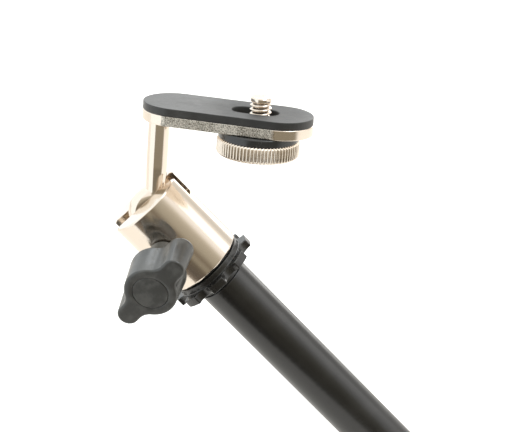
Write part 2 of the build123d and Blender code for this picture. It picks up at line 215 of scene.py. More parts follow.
def worn_edge_group():
    """Where an outside or inside edge has been rubbed, broken up by noise."""
    inputs = [("Width", 0.0004), ("Gain", 3.0), ("Breakup", 900.0)]
    group, entry, leave = new_group("worn edges", inputs, ["Mask"])
    eased = add_node(group, "Bevel", samples=4)
    feed(group, eased, Radius=entry.outputs["Width"])
    straight = add_node(group, "NewGeometry").outputs["Normal"]
    compare = add_node(group, "VectorMath", operation="DOT_PRODUCT")
    feed(group, compare, i0=eased.outputs[0], i1=straight)
    bend = maths(group, "SUBTRACT", 1.0, compare.outputs["Value"])
    bend = maths(group, "MULTIPLY", bend, entry.outputs["Gain"])
    place = add_node(group, "TexCoord").outputs["Object"]
    patchy = stretch(group, noise(group, place, entry.outputs["Breakup"], 3.0), 0.35, 0.65)
    group.links.new(maths(group, "MULTIPLY", bend, patchy, clamp=True), leave.inputs["Mask"])
    return group


def dust_group():
    """Fine specks and lint, thickest on faces that look up."""
    inputs = [("Scale", 1500.0), ("Amount", 0.3)]
    group, entry, leave = new_group("settled dust", inputs, ["Mask"])
    place = add_node(group, "TexCoord").outputs["Object"]
    specks = add_node(group, "TexVoronoi")
    feed(group, specks, Vector=place, Scale=entry.outputs["Scale"])
    dots = stretch(group, specks.outputs["Distance"], 0.22, 0.08)
    film = stretch(group, noise(group, place, 120.0, 4.0), 0.42, 0.7)
    facing = add_node(group, "SeparateXYZ")
    feed(group, facing, i0=add_node(group, "NewGeometry").outputs["Normal"])
    upward = stretch(group, facing.outputs[2], -0.3, 1.0, 0.25, 1.0)
    dots = maths(group, "MULTIPLY", dots, film)
    film = maths(group, "MULTIPLY", film, 0.35)
    both = maths(group, "MULTIPLY", maths(group, "ADD", dots, film), upward)
    both = maths(group, "MULTIPLY", both, entry.outputs["Amount"], clamp=True)
    group.links.new(both, leave.inputs["Mask"])
    return group


GRAIN = grain_group()
HANDLING = handling_group()
WORN = worn_edge_group()
DUST = dust_group()


def place_group(tree, group, **inputs):
    node = add_node(tree, "Group", node_tree=group)
    return feed(tree, node, **inputs).outputs[0]


def rgb(red, green, blue):
    return (red, green, blue, 1.0)


def new_finish(name, **constants):
    """An empty material: its tree and its shader, with what is the same all over set on the shader."""
    material = bpy.data.materials.new(name)
    material.use_nodes = True
    tree = material.node_tree
    shader = tree.nodes["Principled BSDF"]
    for socket, value in constants.items():
        shader.inputs[socket.replace("_", " ")].default_value = value
    return material, tree, shader


def tint(tree, colour, mask, share, second):
    """Colour turned towards a second one by a share of a mask."""
    return blend_colours(tree, maths(tree, "MULTIPLY", mask, share), colour, second)


def set_roughness(tree, shader, marks, smoothest, roughest, extra=None, share=0.0):
    """Roughness that follows the handling marks, with a share of another mask on top."""
    rough = stretch(tree, marks, 0.0, 1.0, smoothest, roughest)
    if extra is not None:
        rough = maths(tree, "ADD", rough, maths(tree, "MULTIPLY", extra, share))
    tree.links.new(rough, shader.inputs["Roughness"])


def relief(tree, shader, height, strength, distance):
    bump = add_node(tree, "Bump")
    feed(tree, bump, Height=height, Strength=strength, Distance=distance)
    tree.links.new(bump.outputs[0], shader.inputs["Normal"])


# ---------------------------------------------------------------- metal finishes

NICKEL_WARM = rgb(0.80, 0.715, 0.62)
NICKEL_GREY = rgb(0.745, 0.675, 0.595)
NICKEL_DULL = rgb(0.46, 0.40, 0.33)


def polished_nickel(name, lines=(1.0, 1.0, 30.0), line_scale=260.0, roughness=(0.13, 0.27), rubbed=2.5):
    """Bright nickel plate over turned steel: faint turning lines, finger marks, dull rubbed edges."""
    material, tree, shader = new_finish(name, Metallic=1.0)
    marks = place_group(tree, HANDLING, Size=48.0, Cover=0.4, Streaks=0.08)
    worn = place_group(tree, WORN, Width=0.0005, Gain=rubbed)
    colour = blend_colours(tree, marks, NICKEL_WARM, NICKEL_GREY)
    colour = tint(tree, colour, worn, 0.5, NICKEL_DULL)
    tree.links.new(colour, shader.inputs["Base Color"])
    set_roughness(tree, shader, marks, *roughness, worn, 0.12)
    turning = place_group(tree, GRAIN, Scale=line_scale, Stretch=lines, Coarse=0.6)
    relief(tree, shader, turning, 0.3, 0.00002)
    return material


def sheared_nickel():
    """Plate finish: bright, with torn, sparkling grain where the straight sides were sheared, and painted
    shade in the grain's low pits.
    """
    material, tree, shader = new_finish("sheared_nickel", Metallic=1.0)
    marks = place_group(tree, HANDLING, Size=80.0, Cover=0.45)
    worn = place_group(tree, WORN, Width=0.0004, Gain=2.5)
    place = add_node(tree, "TexCoord").outputs["Object"]
    coords = add_node(tree, "SeparateXYZ")
    feed(tree, coords, i0=place)
    ragged = noise(tree, place, 900.0, 2.0)
    along = maths(tree, "ADD", coords.outputs[0], maths(tree, "MULTIPLY", ragged, 0.0012))
    started = stretch(tree, along, *(x * MM for x in SHEARED_FROM))
    stopped = stretch(tree, along, *(x * MM for x in SHEARED_TO), 1.0, 0.0)
    normal = add_node(tree, "SeparateXYZ")
    feed(tree, normal, i0=add_node(tree, "TexCoord").outputs["Normal"])
    sideways = stretch(tree, maths(tree, "ABSOLUTE", normal.outputs[1]), 0.5, 0.75)
    sheared = maths(tree, "MULTIPLY", maths(tree, "MULTIPLY", started, stopped), sideways)
    torn = place_group(tree, GRAIN, Scale=3800.0, Stretch=(1.0, 1.0, 0.6), Coarse=0.22)
    # Low points of the torn grain are painted dark: painted shade in its pits, on top of the bump's own
    # relief.
    pit_shade = stretch(tree, torn, 0.50, 0.68)
    colour = blend_colours(tree, marks, NICKEL_WARM, NICKEL_GREY)
    # Dark end of this blend is painted shade in the pits; the pale end is the torn metal's own colour.
    grain_with_pit_shade = blend_colours(tree, pit_shade, rgb(0.15, 0.135, 0.11), rgb(0.74, 0.70, 0.63))
    colour = blend_colours(tree, sheared, colour, grain_with_pit_shade)
    colour = tint(tree, colour, worn, 0.4, NICKEL_DULL)
    tree.links.new(colour, shader.inputs["Base Color"])
    set_roughness(tree, shader, marks, 0.16, 0.3, sheared, 0.22)
    polished = place_group(tree, GRAIN, Scale=700.0, Coarse=0.5)
    height = maths(tree, "MULTIPLY", torn, sheared)
    height = maths(tree, "ADD", height, maths(tree, "MULTIPLY", polished, 0.03))
    relief(tree, shader, height, 0.9, 0.00022)
    return material


def turned_steel(name, base, second, roughness):
    """Bare turned metal with clear tool lines and an oily film in patches."""
    material, tree, shader = new_finish(name, Metallic=1.0)
    marks = place_group(tree, HANDLING, Size=110.0, Cover=0.6)
    worn = place_group(tree, WORN, Width=0.0003, Gain=2.0)
    colour = blend_colours(tree, marks, base, second)
    colour = tint(tree, colour, worn, 0.4, NICKEL_WARM)
    tree.links.new(colour, shader.inputs["Base Color"])
    set_roughness(tree, shader, marks, *roughness)
    lines = place_group(tree, GRAIN, Scale=500.0, Stretch=(1.0, 1.0, 12.0), Coarse=0.5)
    relief(tree, shader, lines, 0.5, 0.00003)
    return material


# ---------------------------------------------------------------- black finishes


def black_rubber():
    """Moulded rubber: pebbled grain, paler where it has been handled, chalky cut edges."""
    material, tree, shader = new_finish("black_rubber", Specular_IOR_Level=0.58, Sheen_Weight=0.12)
    marks = place_group(tree, HANDLING, Size=75.0, Cover=0.55)
    worn = place_group(tree, WORN, Width=0.0005, Gain=1.6, Breakup=1500.0)
    dust = place_group(tree, DUST, Scale=1300.0, Amount=0.25)
    from_screw = add_node(tree, "VectorMath", operation="DISTANCE")
    feed(tree, from_screw, i0=add_node(tree, "TexCoord").outputs["Object"], i1=SCREW_ON_PAD)
    wander = maths(tree, "MULTIPLY", marks, 0.003)
    scuffed = stretch(tree, maths(tree, "ADD", from_screw.outputs["Value"], wander), 0.021, 0.010)
    colour = blend_colours(tree, marks, rgb(0.019, 0.019, 0.018), rgb(0.040, 0.040, 0.038))
    colour = blend_colours(tree, worn, colour, rgb(0.10, 0.10, 0.095))
    colour = tint(tree, colour, scuffed, 0.6, rgb(0.010, 0.010, 0.010))
    colour = blend_colours(tree, dust, colour, rgb(0.30, 0.29, 0.27))
    tree.links.new(colour, shader.inputs["Base Color"])
    set_roughness(tree, shader, marks, 0.40, 0.54, scuffed, 0.22)
    pebbles = place_group(tree, GRAIN, Scale=1500.0, Coarse=1.2)
    relief(tree, shader, pebbles, 0.55, 0.00010)
    return material


def charcoal_plastic(name, base, second, roughness, pebble_scale=2200.0, gloss=0.6, cover=0.5):
    """Moulded plastic with an even spark-eroded grain, rubbed paler on its edges."""
    material, tree, shader = new_finish(name, Specular_IOR_Level=gloss)
    marks = place_group(tree, HANDLING, Size=230.0, Cover=cover)
    worn = place_group(tree, WORN, Width=0.0007, Gain=1.4, Breakup=700.0)
    dust = place_group(tree, DUST, Scale=1700.0, Amount=0.12)
    colour = blend_colours(tree, marks, base, second)
    colour = tint(tree, colour, worn, 0.6, rgb(0.13, 0.13, 0.125))
    colour = blend_colours(tree, dust, colour, rgb(0.32, 0.31, 0.29))
    tree.links.new(colour, shader.inputs["Base Color"])
    set_roughness(tree, shader, marks, *roughness)
    pebbles = place_group(tree, GRAIN, Scale=pebble_scale, Coarse=0.6)
    relief(tree, shader, pebbles, 0.5, 0.00006)
    return material


def black_tube_coat():
    """Satin black coating on a drawn tube: orange peel, faint lengthwise rub lines, worn ends."""
    material, tree, shader = new_finish("black_tube_coat", Specular_IOR_Level=0.75)
    marks = place_group(tree, HANDLING, Size=45.0, Cover=0.45)
    worn = place_group(tree, WORN, Width=0.0005, Gain=2.0)
    dust = place_group(tree, DUST, Scale=900.0, Amount=0.10)
    colour = blend_colours(tree, marks, rgb(0.004, 0.0045, 0.0045), rgb(0.008, 0.0085, 0.008))
    colour = tint(tree, colour, worn, 0.7, rgb(0.20, 0.19, 0.18))
    colour = blend_colours(tree, dust, colour, rgb(0.26, 0.25, 0.24))
    tree.links.new(colour, shader.inputs["Base Color"])
    rubs = place_group(tree, GRAIN, Scale=420.0, Stretch=(3.0, 3.0, 0.04), Coarse=0.4)
    set_roughness(tree, shader, marks, 0.20, 0.28, rubs, 0.05)
    peel = place_group(tree, GRAIN, Scale=900.0, Coarse=1.0)
    relief(tree, shader, peel, 0.4, 0.00005)
    return material


SCREW_ON_PAD = wheel_point - pin_point     # where the camera screw comes through the pad
SCREW_ON_PAD.z = reach("rubber_pad", level)[1][2] * MM
SHEARED_FROM = (3.5, 3.85)             # where shearing sets in along the plate, from the post's axis
SHEARED_TO = (35.7, 37.3)              # and where it fades out

BRIGHT = polished_nickel("polished_nickel")
POST_BRIGHT = polished_nickel("polished_nickel_post", roughness=(0.10, 0.22))
PLATE = sheared_nickel()
KNURLED = polished_nickel(
    "knurled_nickel", lines=(1.0, 1.0, 4.0), line_scale=700.0, roughness=(0.2, 0.34), rubbed=9.0
)
SCREW_PLATE = polished_nickel(
    "nickel_thread", lines=(1.0, 1.0, 1.0), line_scale=1500.0, roughness=(0.14, 0.26)
)
STEEL = turned_steel("turned_steel", rgb(0.56, 0.55, 0.52), rgb(0.40, 0.38, 0.35), (0.25, 0.42))
BRASS = turned_steel("turned_brass", rgb(0.72, 0.53, 0.24), rgb(0.52, 0.36, 0.16), (0.22, 0.38))
RUBBER = black_rubber()
KNOB = charcoal_plastic(
    "charcoal_plastic", rgb(0.024, 0.025, 0.023), rgb(0.046, 0.047, 0.043), (0.28, 0.42),
    gloss=0.78, cover=0.68,
)
CAP = charcoal_plastic(
    "charcoal_plastic_cap", rgb(0.020, 0.021, 0.019), rgb(0.052, 0.053, 0.049), (0.29, 0.44),
    gloss=0.75, cover=0.75,
)
RING = charcoal_plastic(
    "black_plastic", rgb(0.011, 0.011, 0.010), rgb(0.022, 0.022, 0.021), (0.24, 0.38), 1600.0
)
FIBRE = charcoal_plastic(
    "black_fibre", rgb(0.018, 0.019, 0.020), rgb(0.032, 0.033, 0.033), (0.22, 0.34), 1100.0
)
METAL_BLACK = charcoal_plastic(
    "black_metal", rgb(0.015, 0.015, 0.015), rgb(0.03, 0.03, 0.03), (0.3, 0.42)
)
COAT = black_tube_coat()

# ---------------------------------------------------------------- drawing helpers


def rounded(corners, closed=False, steps=ROUND_STEPS):
    """Turn (a, b, radius) corners into points, with an arc at each corner that has a radius."""
    points = []
    count = len(corners)
    for i, (a, b, radius) in enumerate(corners):
        here = Vector((a, b))
        inner = closed or 0 < i < count - 1
        if radius <= 0 or not inner:
            points.append(here)
            continue
        before = Vector(corners[i - 1][:2]) - here
        after = Vector(corners[(i + 1) % count][:2]) - here
        before.normalize()
        after.normalize()
        half = before.angle(after) / 2
        centre = here + (before + after).normalized() * (radius / math.sin(half))
        start = here + before * (radius / math.tan(half)) - centre
        end = here + after * (radius / math.tan(half)) - centre
        sweep = start.angle_signed(end)
        for k in range(steps + 1):
            angle = -sweep * k / steps
            c, s = math.cos(angle), math.sin(angle)
            points.append(centre + Vector((start.x * c - start.y * s, start.x * s + start.y * c)))
    return points


def arc(centre, radius, start, end, steps):
    """Points on an arc, angles in radians."""
    angles = [start + (end - start) * k / steps for k in range(steps + 1)]
    return [(centre[0] + radius * math.cos(a), centre[1] + radius * math.sin(a)) for a in angles]


def round_row(angles, radius, height):
    """A level ring of points at given angles."""
    return [(radius * math.cos(a), radius * math.sin(a), height) for a in angles]


def bar(radius, low, high, foot_edge=0, top_edge=0):
    """Outline of a solid round bar, its two edges rounded where asked."""
    return [(0, low, 0), (radius, low, foot_edge), (radius, high, top_edge), (0, high, 0)]


def hollow_bar(bore, radius, low, high, edges):
    """Outline of a ring or tube; edges are its roundings from the foot's bore round to the top's."""
    corners = [(bore, low), (radius, low), (radius, high), (bore, high)]
    return [(*corner, edge) for corner, edge in zip(corners, edges)]


def skin(name, loops, place, closed=False):
    """Join equal rings of points into a solid; open stacks are capped, closed ones meet end to end."""
    shape = bmesh.new()
    rings = [[shape.verts.new(Vector(p) * MM) for p in loop] for loop in loops]
    pairs = list(zip(rings, rings[1:]))
    if closed:
        pairs.append((rings[-1], rings[0]))
    for low, high in pairs:
        count = max(len(low), len(high))
        if count == 1:
            continue
        for k in range(count):
            following = k + 1
            corners = [low[k % len(low)], low[following % len(low)]]
            corners += [high[following % len(high)], high[k % len(high)]]
            shape.faces.new(list(dict.fromkeys(corners)))
    if not closed:
        for ring in (rings[0], rings[-1]):
            if len(ring) > 1:
                shape.faces.new(ring)
    return to_object(name, shape, place)


def to_object(name, shape, place):
    bmesh.ops.recalc_face_normals(shape, faces=shape.faces)
    mesh = bpy.data.meshes.new(name)
    shape.to_mesh(mesh)
    shape.free()
    made = bpy.data.objects.new(name, mesh)
    bpy.context.scene.collection.objects.link(made)
    made.matrix_world = place
    return made


def turned(name, corners, place, closed=False, steps=TURN_STEPS):
    """Spin a rounded outline of (radius, height, rounding) corners about Z."""
    angles = [2 * math.pi * k / steps for k in range(steps)]
    loops = []
    for radius, height in rounded(corners, closed):
        loops.append([(0, 0, height)] if radius < ON_AXIS else round_row(angles, radius, height))
    return skin(name, loops, place, closed)


def block(name, low, high, place):
    corners = [(low[0], low[1]), (high[0], low[1]), (high[0], high[1]), (low[0], high[1])]
    return skin(name, [[(x, y, z) for x, y in corners] for z in (low[2], high[2])], place)


def baked(piece):
    """Replace a piece's mesh by the one that its modifiers give."""
    bpy.context.view_layer.update()
    finished = piece.evaluated_get(bpy.context.evaluated_depsgraph_get())
    mesh = bpy.data.meshes.new_from_object(finished)
    piece.modifiers.clear()
    piece.data = mesh
    return piece


def combine(piece, tools, operation="DIFFERENCE"):
    """Cut tools out of a piece, or add them to it, and throw the tools away."""
    for tool in tools:
        step = piece.modifiers.new("shape", "BOOLEAN")
        step.operation = operation
        step.solver = "EXACT"
        step.object = tool
    baked(piece)
    for tool in tools:
        bpy.data.objects.remove(tool)
    return piece


def ease_edges(piece, width, angle=40, steps=3):
    step = piece.modifiers.new("eased edges", "BEVEL")
    step.width = width * MM
    step.segments = steps
    step.limit_method = "ANGLE"
    step.angle_limit = math.radians(angle)
    step.use_clamp_overlap = False
    step.miter_outer = "MITER_ARC"
    return baked(piece)


def smooth(piece):
    """Smooth shading that keeps flats flat and true corners sharp."""
    for face in piece.data.polygons:
        face.use_smooth = True
    piece.data.set_sharp_from_angle(angle=SHARP_ANGLE)
    step = piece.modifiers.new("even shading", "WEIGHTED_NORMAL")
    step.keep_sharp = True
    step.weight = 80
    return piece


def stand_for(piece, node, material):
    """Finish a piece and put it in the place of the CAD node it was drawn from."""
    smooth(piece)
    piece.data.materials.clear()
    piece.data.materials.append(material)
    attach(piece, frame["nodes"][node]["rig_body"])
    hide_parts(node)
    return piece


def join(pieces):
    """One object from several that share a place."""
    first = pieces[0]
    shape = bmesh.new()
    for piece in pieces:
        shape.from_mesh(piece.data)
    shape.to_mesh(first.data)
    shape.free()
    for piece in pieces[1:]:
        bpy.data.objects.remove(piece)
    return first


THREAD_STEPS = 72          # points round one turn of a thread
# One pitch of the thread's outline: share of the pitch, share of the depth.
THREAD_OUTLINE = [
    (0.0, 0.0), (0.08, 0.0), (0.28, 0.5), (0.44, 0.95), (0.5, 1.0), (0.56, 1.0), (0.62, 0.95), (0.80, 0.5),
]


def thread(name, radius, pitch, low, high, place, depth_share=0.6, inside=False):
    """A helical 60 degree thread between two heights, cut off flat at both."""
    depth = pitch * depth_share
    root = radius - depth
    turns = int((high - low) / pitch) + 4
    last = turns * THREAD_STEPS
    shape = bmesh.new()
    rows = []
    for u in range(last + 1):
        angle = 2 * math.pi * u / THREAD_STEPS
        row = []
        for share, lift in THREAD_OUTLINE:
            z = low - 2 * pitch + pitch * (u / THREAD_STEPS + share)
            r = root + depth * lift
            row.append(shape.verts.new(Vector((r * math.cos(angle), r * math.sin(angle), z)) * MM))
        rows.append(row)
    for u in range(last):
        row, following = rows[u], rows[u + 1]
        for k in range(len(THREAD_OUTLINE) - 1):
            shape.faces.new([row[k], following[k], following[k + 1], row[k + 1]])
        above = u + THREAD_STEPS
        if above + 1 <= last:
            shape.faces.new([row[-1], following[-1], rows[above + 1][0], rows[above][0]])
    for height, side in ((low, -1), (high, 1)):
        bmesh.ops.bisect_plane(
            shape, geom=shape.verts[:] + shape.edges[:] + shape.faces[:], dist=1e-8,
            plane_co=(0, 0, height * MM), plane_no=(0, 0, side), clear_outer=True,
        )
    if not inside:
        open_edges = [e for e in shape.edges if e.is_boundary]
        bmesh.ops.holes_fill(shape, edges=open_edges, sides=0)
    return to_object(name, shape, place)


# ---------------------------------------------------------------- platform

END_STEPS = 40
SIDE_STEPS = 30
PLATE_EDGE = 0.35
PLATE_SLOT_EDGE = 0.25
PAD_TOP_EDGE = 0.22
PAD_FOOT_EDGE = 0.2
PAD_LIP = 0.35
PAD_WAVE = 0.07            # unevenness of the pad's cut edge
SLOT_FROM_POST = 28.35
PAD_SLOT = (13.9, 7.2)
PLATE_SLOT = (12.1, 5.4)
WASHER_BORE = 2.0


def stadium(half_straight, radius, centre_x, height):
    right = arc((centre_x + half_straight, 0), radius, -math.pi / 2, math.pi / 2, END_STEPS)
    left = arc((centre_x - half_straight, 0), radius, math.pi / 2, 3 * math.pi / 2, END_STEPS)
    points = []
    for run, following in ((right, left), (left, right)):
        points += run
        start_x, start_y = run[-1]
        end_x, end_y = following[0]
        for k in range(1, SIDE_STEPS):
            x = start_x + (end_x - start_x) * k / SIDE_STEPS
            y = start_y + (end_y - start_y) * k / SIDE_STEPS
            points.append((x, y))
    return [(x, y, height) for x, y in points]


def slotted_strip(name, node, slot_size, edges, wave=0.0):
    """A round-ended strip with a round-ended slot; edges are foot, top and slot roundings."""
    low, high = reach(node, level)
    length = high[0] - low[0]
    width = high[1] - low[1]
    centre_x = (high[0] + low[0]) / 2
    slot_radius = slot_size[1] / 2
    halfway = (width / 2 + slot_radius) / 2
    foot, top, lip = edges
    outline = hollow_bar(slot_radius, width / 2, low[2], high[2], (lip, foot, top, lip))
    loops = []
    for s, z in rounded(outline, closed=True):
        if s > halfway:
            loop = stadium((length - width) / 2, s, centre_x, z)
            if wave:
                loop = [uneven(p, centre_x, wave) for p in loop]
        else:
            loop = stadium((slot_size[0] - slot_size[1]) / 2, s, SLOT_FROM_POST, z)
        loops.append(loop)
    return skin(name, loops, level, closed=True)


def uneven(point, centre_x, wave):
    """A point of a cut edge, drawn in by three mixed waves round the outline."""
    x, y, z = point
    angle = math.atan2(y, x - centre_x)
    swing = math.sin(5 * angle + 0.7)
    swing += 0.6 * math.sin(11 * angle + 2.1 + 0.5 * z)
    swing += 0.4 * math.sin(23 * angle)
    pull = 1 - wave * (1.2 + 0.5 * swing) / math.hypot(x - centre_x, y)
    return (centre_x + (x - centre_x) * pull, y * pull, z)


def camera_plate():
    edges = (PLATE_EDGE, PLATE_EDGE, PLATE_SLOT_EDGE)
    plate = slotted_strip("camera_plate_bright", "camera_plate", PLATE_SLOT, edges)
    stand_for(plate, "camera_plate", PLATE)


def rubber_pad():
    edges = (PAD_FOOT_EDGE, PAD_TOP_EDGE, PAD_LIP)
    pad = slotted_strip("rubber_pad_moulded", "rubber_pad", PAD_SLOT, edges, PAD_WAVE)
    stand_for(pad, "rubber_pad", RUBBER)


def post_washer():
    low, high = reach("post_washer", level)
    outline = hollow_bar(WASHER_BORE, high[0], low[2], high[2], (0.08, 0.12, 0.12, 0.08))
    stand_for(turned("post_washer_plated", outline, level, closed=True), "post_washer", SCREW_PLATE)


# ---------------------------------------------------------------- post

EYE_EDGE = 2.9
NECK_RADIUS = 2.9
NECK_TOP = 14.0
NECK_CONE = 7.0
NECK_EASE = 30             # rounding that runs the neck into the post
PIN_RADIUS = 2.0
PIN_SUNK = 0.6             # the pin's ends stop short of the jaws' outside


def tilt_post():
    low, high = reach("tilt_post", post_place)
    eye_radius = (high[0] - low[0]) / 2
    eye_half = (high[1] - low[1]) / 2
    top = high[2]
    post_radius = reach("post_washer", level)[1][0]
    shank = turned("tilt_post_bright", [
        (0, 0, 0),
        (NECK_RADIUS, 0, 0),
        (NECK_RADIUS, NECK_TOP - NECK_CONE, NECK_EASE),
        (post_radius, NECK_TOP, NECK_EASE),
        (post_radius, top, 0.35),
        (0, top, 0),
    ], post_place)
    across = post_place @ Matrix.Rotation(math.pi / 2, 4, "X")
    eye = turned("eye", bar(eye_radius, -eye_half, eye_half, EYE_EDGE, EYE_EDGE), across)
    bore_half = eye_half + PAST
    bore = turned("bore", bar(PIN_RADIUS + RUN, -bore_half, bore_half), across, steps=64)
    post = combine(shank, [eye], "UNION")
    post = combine(post, [bore])
    stand_for(post, "tilt_post", POST_BRIGHT)


# ---------------------------------------------------------------- camera screw and thumbwheel

SCREW_PITCH = 1.27
SCREW_RADIUS = 3.175
SCREW_NECK_RADIUS = 2.5
SCREW_HEAD_HIGH = 1.2
SCREW_POINT = 1.3          # length of the plain point above the thread
POINT_RADIUS = 3.05
POINT_CHAMFER = 0.4
POINT_ROOT = 2.45
COIN_SLOT = (1.3, 0.8)
COIN_EDGE = 0.1
KNURL_COUNT = 72
KNURL_DEEP = 0.34
KNURL_SHARP = 1.6          # above 1 for ridges wider than the grooves between them
KNURL_STEPS = 10
WHEEL_EDGE = 0.5
WHEEL_MOUTH = (0.15, 0.1)  # chamfer round the screw's head: width and depth
# The wheel's chamfered rim: distance in from the rim, distance from the face, share of the knurl's depth.
WHEEL_RIM = [
    (WHEEL_EDGE + KNURL_DEEP, 0, 0),
    (WHEEL_EDGE + 0.12, 0.05, 0.1),
    (0.16, WHEEL_EDGE - 0.05, 0.8),
    (0, WHEEL_EDGE + 0.25, 1),
]
COLLAR_EDGE = 0.5
THREAD_FOOT = 32.2         # above the tilt pin


def camera_screw():
    low, high = reach("camera_screw", screw_place)
    head_low = low[2]
    head_radius = high[0]
    head_top = head_low + SCREW_HEAD_HIGH
    stem = turned("stem", [
        (0, head_low, 0),
        (head_radius, head_low, 0.25),
        (head_radius, head_top, 0.1),
        (SCREW_NECK_RADIUS, head_top, 0),
        (SCREW_NECK_RADIUS, THREAD_FOOT + LAP, 0),
        (0, THREAD_FOOT + LAP, 0),
    ], screw_place, steps=96)
    wide, deep = COIN_SLOT
    coin_low = (-head_radius - PAST, -wide / 2, head_low - PAST)
    coin_high = (head_radius + PAST, wide / 2, head_low + deep)
    coin = block("coin", coin_low, coin_high, screw_place)
    stem = ease_edges(combine(stem, [coin]), COIN_EDGE, 60, 2)
    thread_top = high[2] - SCREW_POINT
    name = "camera_screw_threaded"
    top = thread(name, SCREW_RADIUS, SCREW_PITCH, THREAD_FOOT, thread_top, screw_place)
    point = turned("point", [
        (0, thread_top - SCREW_PITCH, 0),
        (POINT_ROOT, thread_top - POINT_CHAMFER, 0.3),
        (POINT_RADIUS, thread_top, 0.2),
        (POINT_RADIUS, high[2] - POINT_CHAMFER, 0.15),
        (POINT_RADIUS - POINT_CHAMFER, high[2], 0.15),
        (0, high[2], 0),
    ], screw_place, steps=96)
    stand_for(join([top, point, stem]), "camera_screw", SCREW_PLATE)


def knurled_ring(radius, height, depth):
    """One ring of the straight knurl; depth fades to nothing on the chamfers."""
    points = []
    for k in range(KNURL_COUNT * KNURL_STEPS):
        phase = (k % KNURL_STEPS) / KNURL_STEPS
        dip = (0.5 + 0.5 * math.cos(2 * math.pi * phase)) ** KNURL_SHARP
        r = radius - depth * dip
        angle = 2 * math.pi * k / (KNURL_COUNT * KNURL_STEPS)
        points.append((r * math.cos(angle), r * math.sin(angle), height))
    return points


def thumbwheel():
    low, high = reach("thumbwheel", screw_place)
    radius = high[0]
    bottom, top = low[2], high[2]
    head_radius = reach("camera_screw", screw_place)[1][0]
    mouth_wide, mouth_deep = WHEEL_MOUTH
    rows = [
        (SCREW_NECK_RADIUS, bottom + SCREW_HEAD_HIGH, 0),
        (head_radius + RUN, bottom + SCREW_HEAD_HIGH, 0),
        (head_radius + RUN, bottom + mouth_deep, 0),
        (head_radius + RUN + mouth_wide, bottom, 0),
    ]
    rows += [(radius - inward, bottom + rise, share) for inward, rise, share in WHEEL_RIM]
    rows.append((radius, (bottom + top) / 2, 1))
    rows += [(radius - inward, top - rise, share) for inward, rise, share in reversed(WHEEL_RIM)]
    rows.append((SCREW_NECK_RADIUS, top, 0))
    loops = [knurled_ring(r, z, KNURL_DEEP * share) for r, z, share in rows]
    stand_for(skin("thumbwheel_knurled", loops, screw_place, closed=True), "thumbwheel", KNURLED)


def wheel_collar():
    low, high = reach("wheel_collar", screw_place)
    bore = SCREW_NECK_RADIUS + RUN
    outline = hollow_bar(bore, high[0], low[2], high[2], (0.1, 0.12, COLLAR_EDGE, 0.2))
    stand_for(turned("wheel_collar_fibre", outline, screw_place, closed=True), "wheel_collar", FIBRE)


# ---------------------------------------------------------------- head

HEAD_TOP_EDGE = 0.5
HEAD_FOOT_EDGE = 0.7
SLOT_HALF = 3.25
SLOT_FLOOR = -2.9
EYE_POCKET = 7.9
JAW_CORNER = 1.6
JAW_STEPS = 10
JAW_EDGE = 0.16
SHOE_BORE = 5.0
BUSH_TOP = -14.6
BUSH_RADIUS = 7.0
CLAMP_THREAD = 3.0


def head_housing():
    low, high = reach("head_housing", head_place)
    foot, rim = low[2], high[2]
    radius = high[1]
    outline = bar(radius, foot, rim, HEAD_FOOT_EDGE, HEAD_TOP_EDGE)
    body = turned("head_housing_bright", outline, head_place, steps=224)
    beyond = radius + 2 * PAST
    slot_low = (-beyond, -SLOT_HALF, SLOT_FLOOR)
    slot = block("slot", slot_low, (beyond, SLOT_HALF, rim + 2 * PAST), head_place)
    along_pin = head_place @ Matrix.Rotation(math.pi / 2, 4, "X")
    pocket = turned("pocket", bar(EYE_POCKET, -SLOT_HALF, SLOT_HALF), along_pin)
    shoe_bore = turned("shoe_bore", bar(SHOE_BORE, BUSH_TOP - PAST, SLOT_FLOOR), head_place)
    bush_bore = turned("bush_bore", bar(BUSH_RADIUS, foot - PAST, BUSH_TOP), head_place)
    tapped = turned("tapped", bar(CLAMP_THREAD, 0, beyond), knob_place, steps=64)
    body = combine(body, [slot, *jaw_cutters(radius, rim)])
    body = combine(body, [pocket, shoe_bore, bush_bore, tapped])
    stand_for(ease_edges(body, JAW_EDGE), "head_housing", BRIGHT)


def jaw_cutters(radius, rim):
    """Pieces that take the jaws' four top corners to a radius, seen along the pin."""
    tools = []
    for side in (-1, 1):
        centre_x = side * (radius - JAW_CORNER)
        centre_z = rim - JAW_CORNER
        outer = side * (radius + PAST)
        outline = [(centre_x, rim + PAST)]
        for k in range(JAW_STEPS + 1):
            angle = math.pi / 2 * k / JAW_STEPS
            x = centre_x + side * JAW_CORNER * math.sin(angle)
            outline.append((x, centre_z + JAW_CORNER * math.cos(angle)))
        outline += [(outer, centre_z), (outer, rim + PAST)]
        loops = [[(x, y, z) for x, z in outline] for y in (-radius - PAST, radius + PAST)]
        tools.append(skin("jaw_cut", loops, head_place))
    return tools


def tilt_pin():
    """Kept inside the jaws: its ends are peened and polished over, so that no joint shows."""
    half = reach("head_housing", head_place)[1][1] - PIN_SUNK
    along_pin = head_place @ Matrix.Rotation(math.pi / 2, 4, "X")
    pin = turned("tilt_pin_steel", bar(PIN_RADIUS, -half, half, 0.3, 0.3), along_pin, steps=64)
    stand_for(pin, "tilt_pin", STEEL)


# ---------------------------------------------------------------- wing knob

LOBE_RADIUS = 3.2
LOBE_CENTRE = 11.1
WEB_RADIUS = 4.5
KNOB_BODY = 7.8
KNOB_DEPTH = 11.7
KNOB_DRAFT = math.radians(3.0)
HUB_RADIUS = 4.8
HUB_FLARE = 1.6            # hollow rounding from the hub into the knob's back
HUB_BORE = 3.0
KNOB_FRONT_EDGE = 0.7
KNOB_BACK_EDGE = 1.0
CAP_RADIUS = 5.3
CAP_DEEP = 1.4
CAP_GROOVE = 0.09
CAP_RIM = 1.0              # flat ring drawn round the cap's recess
CLAMP_PITCH = 1.0
CLAMP_HEAD = 3.0           # end of the clamp screw that the knob is moulded over
ARC_STEPS = 14


